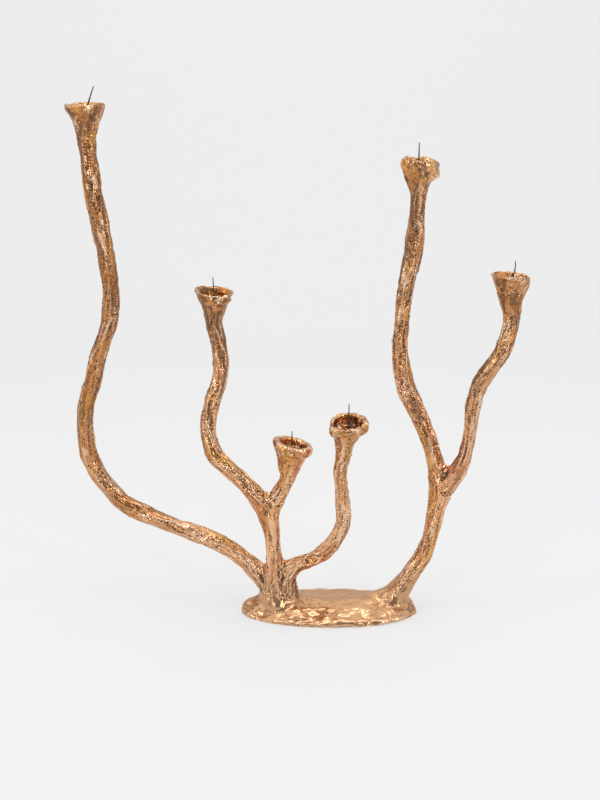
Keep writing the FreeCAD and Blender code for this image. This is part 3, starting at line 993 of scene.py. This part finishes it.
# %% Pieces
def take_patches(work, names):
    """A mesh for each named patch, with its measured attributes and the normals of its points."""
    points = np.array([v.co for v in work.verts])
    layers = {name: work.verts.layers.float[name] for name in ("hollow", "run", "worn", "cup")}
    values = {name: np.array([v[layer] for v in work.verts]) for name, layer in layers.items()}
    around_layer = work.verts.layers.float_vector["around"]
    around = np.array([v[around_layer] for v in work.verts])
    normals = np.array([v.normal for v in work.verts])
    corners = np.array([[v.index for v in f.verts] for f in work.faces])
    patch = np.array([f[patch_layer] for f in work.faces])
    meshes = {}
    for number, name in names.items():
        used, triangles = np.unique(corners[patch == number], return_inverse=True)
        mesh = bpy.data.meshes.new(name)
        mesh.from_pydata(points[used].tolist(), [], triangles.reshape(-1, 3).tolist())
        for key, value in values.items():
            mesh.attributes.new(key, "FLOAT", "POINT").data.foreach_set("value", value[used])
        outward = mesh.attributes.new("around", "FLOAT_VECTOR", "POINT")
        outward.data.foreach_set("vector", around[used].ravel())
        meshes[name] = mesh, normals[used]
    return meshes


def cap(mesh, normals):
    """Closes the open ends of a piece with flat faces, and shades the rest as part of the whole skin."""
    ends = bmesh.new()
    ends.from_mesh(mesh)
    bmesh.ops.holes_fill(ends, edges=[e for e in ends.edges if e.is_boundary], sides=0)
    bmesh.ops.triangulate(ends, faces=[f for f in ends.faces if len(f.verts) > 3])
    for face in ends.faces:
        face.smooth = True
    ends.to_mesh(mesh)
    ends.free()
    mesh.normals_split_custom_set_from_vertices(normals.tolist())


work.verts.index_update()
work.normal_update()
for node, (mesh, normals) in take_patches(work, patch_names).items():
    cap(mesh, normals)
    mesh.materials.append(bronze)
    piece = new_object(f"{node}_bronze", mesh)
    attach(piece, "root")
    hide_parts(node)
    print(piece.name, len(mesh.polygons), "faces")
work.free()

# %% [markdown]
# ## Prickets
# The spikes are steel wire, ground to a point. They repeat, so one tree makes them all: a short curve with a
# taper, bent a little near its tip, swept with a small circle. They lean as they were set.


# %% Steel
DARK_STEEL = (0.05, 0.047, 0.047, 1)
PALE_STEEL = (0.15, 0.14, 0.135, 1)


def make_steel():
    material, tree = new_material("pricket_steel")
    place = tree.node("ShaderNodeTexCoord")[3]
    tarnish = tree.noise(place, 3 * MM, 3.0, 0.6)
    colour = mix_colours(tree, tarnish.ramp(0.35, 0.7), DARK_STEEL, PALE_STEEL)
    grit = {"Strength": 0.3, "Distance": 0.1 * MM, "Height": tree.noise(place, 0.5 * MM)}
    bump = tree.shade("Bump", grit)
    finish_material(
        tree, {"Base Color": colour, "Metallic": 0.9, "Roughness": 0.3 + tarnish * 0.25, "Normal": bump}
    )
    return material


steel = make_steel()
# How far a spike goes down into its cup, in mm, and the share of its length where its tip begins to bend.
SHANK_LENGTH, BEND_START = 5.0, 0.55
SPIKE = {"Radius": 0.86 * MM, "Point Length": 20 * MM}
# Lean to the right in degrees, length above the floor of the cup in mm, and bend of the tip in degrees.
PRICKETS = {
    "far_left": (20.0, 27.5, 2.0),
    "centre_left": (-3.0, 22.0, 0.0),
    "centre_low": (0.0, 20.0, 1.0),
    "middle": (1.5, 26.0, -1.0),
    "right_tall": (0.0, 25.0, 0.0),
    "right_low": (9.0, 23.8, -12.0),
}


def pricket_tree():
    tree, course, size = geometry_tree("ground spike", ["Radius", "Point Length"])
    course = tree.geo("ResampleCurve", {0: course, "Count": 40}, mode="COUNT")
    reach = tree.geo("SplineLength") - tree.node("GeometryNodeSplineParameter")[1]
    taper = reach.maths("DIVIDE", reach, size["Point Length"]).clamped() * 0.5 + 0.5
    course = store(tree, course, "taper", taper)
    circle = tree.geo("CurvePrimitiveCircle", {"Resolution": 20, "Radius": 1.0})
    scale = named(tree, "taper") * size["Radius"]
    spike = tree.geo("CurveToMesh", {0: course, 1: circle, "Scale": scale, "Fill Caps": True})
    spike = tree.geo("SetShadeSmooth", {0: spike})
    return finish_tree(tree, spike, steel)


def spike_curve(limb):
    """The spike's line from the end of its shank to its tip."""
    lean, length, bend = PRICKETS[limb]
    floor = neck_frame(limb) @ Vector((CUPS[limb].get("lean", 0.0) * MM, 0, LEAN_HEIGHT * MM))
    spline_data = bpy.data.curves.new(f"{limb}_spike_line", "CURVE")
    spline_data.dimensions = "3D"
    spline = spline_data.splines.new("POLY")
    steps, start = 24, -SHANK_LENGTH
    spline.points.add(steps)
    spot = floor
    for number in range(steps + 1):
        along = start + (length - start) * number / steps
        tilt = math.radians(lean + bend * max(0.0, (along / length - BEND_START) / (1 - BEND_START)))
        way = Vector((math.sin(tilt), 0, math.cos(tilt)))
        if number == 0:
            spot = floor + way * start * MM
        else:
            spot = spot + way * (length - start) / steps * MM
        spline.points[number].co = (*spot, 1)
    return new_object(f"{limb}_spike_line", spline_data)


spike_group = pricket_tree()
for limb in PRICKETS:
    spike = run_tree(spike_curve(limb), spike_group, SPIKE)
    piece = new_object(f"pricket_{limb}_steel", spike)
    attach(piece, "root")
    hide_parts(f"pricket_{limb}")
print("prickets:", len(PRICKETS))

# %% [markdown]
# ## Felt
# The pad under the base is pressed wool felt. Only its edge could ever be seen, as a thin dark line above the
# table. The shape is right in the CAD model, so that node stays and gets a matt, slightly fuzzy cloth
# material.


# %% Felt
DARK_FELT = (0.018, 0.014, 0.012, 1)
WORN_FELT = (0.06, 0.05, 0.045, 1)


def make_felt():
    material, tree = new_material("table_felt")
    place = tree.node("ShaderNodeTexCoord")[3]
    fuzz = tree.noise(place, 0.6 * MM, 4.0, 0.7)
    colour = mix_colours(tree, fuzz.ramp(0.3, 0.7), DARK_FELT, WORN_FELT)
    bump = tree.shade("Bump", {"Strength": 0.7, "Distance": 0.3 * MM, "Height": fuzz})
    finish_material(tree, {"Base Color": colour, "Roughness": 0.95, "Sheen Weight": 0.4, "Normal": bump})
    return material


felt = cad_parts["base_felt"]
felt.data.materials.clear()
felt.data.materials.append(make_felt())

# %% [markdown]
# ## Studio
# A pale table that curves up into a pale wall, and large soft lights. Polished metal shows what stands round
# it, so the lights are long panels with darker gaps between them, which is what draws bright lines and dark
# lines along the limbs.


# %% Floor and wall
def make_sweep():
    """A floor that curves up into a wall."""
    depth, height, bend, half = 1.6, 2.4, 0.5, 3.0
    profile = [(-3.0, 0.0), (depth - bend, 0.0)]
    for k in range(1, 17):
        angle = math.pi / 2 * k / 16
        profile.append((depth - bend + bend * math.sin(angle), bend - bend * math.cos(angle)))
    profile.append((depth, height))
    points = [(x, y, z) for y, z in profile for x in (-half, half)]
    faces = [(2 * k, 2 * k + 1, 2 * k + 3, 2 * k + 2) for k in range(len(profile) - 1)]
    mesh = bpy.data.meshes.new("sweep")
    mesh.from_pydata(points, [], faces)
    mesh.shade_smooth()
    return new_object("studio_sweep", mesh)


paper, paper_tree = new_material("studio_paper")
# The paper glows a little, so it stays evenly pale where the soft lights fall off.
finish_material(
    paper_tree,
    {
        "Base Color": (0.30, 0.30, 0.30, 1),
        "Roughness": 1.0,
        "Specular IOR Level": 0.0,
        "Emission Color": (1, 1, 1, 1),
        "Emission Strength": 0.56,
    },
)
sweep = make_sweep()
sweep.data.materials.append(paper)


# %% Lights and camera
def panel(name, place, target, width, height, power):
    """A soft light that faces a point."""
    light = bpy.data.lights.new(name, "AREA")
    light.shape, light.size, light.size_y, light.energy = "RECTANGLE", width, height, power
    lamp = new_object(name, light)
    lamp.location = place
    lamp.rotation_euler = (Vector(target) - Vector(place)).to_track_quat("-Z", "Y").to_euler()
    return lamp


MIDDLE = (0, 0, 0.25)
# Place, width, height and watts of each panel.
PANELS = {
    "top_panel": ((0.0, 0.1, 2.0), 3.0, 2.4, 22),
    "top_strip": ((0.1, -0.25, 1.9), 1.4, 0.12, 5),
    "left_panel": ((-1.7, -0.3, 0.9), 1.6, 1.8, 9),
    "right_panel": ((1.7, -0.3, 0.9), 1.6, 1.8, 7),
    "front_panel": ((-0.5, -2.0, 1.9), 0.4, 0.25, 3),
    "left_strip": ((-1.1, -1.6, 0.8), 0.14, 1.3, 7),
    "right_strip": ((1.2, -1.4, 0.8), 0.14, 1.3, 7),
}
for name, (place, width, height, watts) in PANELS.items():
    panel(name, place, MIDDLE, width, height, watts)

world = bpy.data.worlds.new("studio")
bpy.context.scene.world = world
world.use_nodes = True
world.node_tree.nodes["Background"].inputs["Color"].default_value = (1, 1, 1, 1)
world.node_tree.nodes["Background"].inputs["Strength"].default_value = 0.25

# In front of the stand, a little above its top, and tilted down by the pitch, in degrees.
CAMERA_PLACE, CAMERA_PITCH = (-0.0307, -1.068, 0.539), 16
camera_data = bpy.data.cameras.new("camera")
camera_data.lens, camera_data.sensor_width = 50, 36
camera = new_object("camera", camera_data)
camera.location = CAMERA_PLACE
camera.rotation_euler = (math.radians(90 - CAMERA_PITCH), 0, 0)
bpy.context.scene.camera = camera
bpy.context.scene.view_settings.view_transform = "Standard"
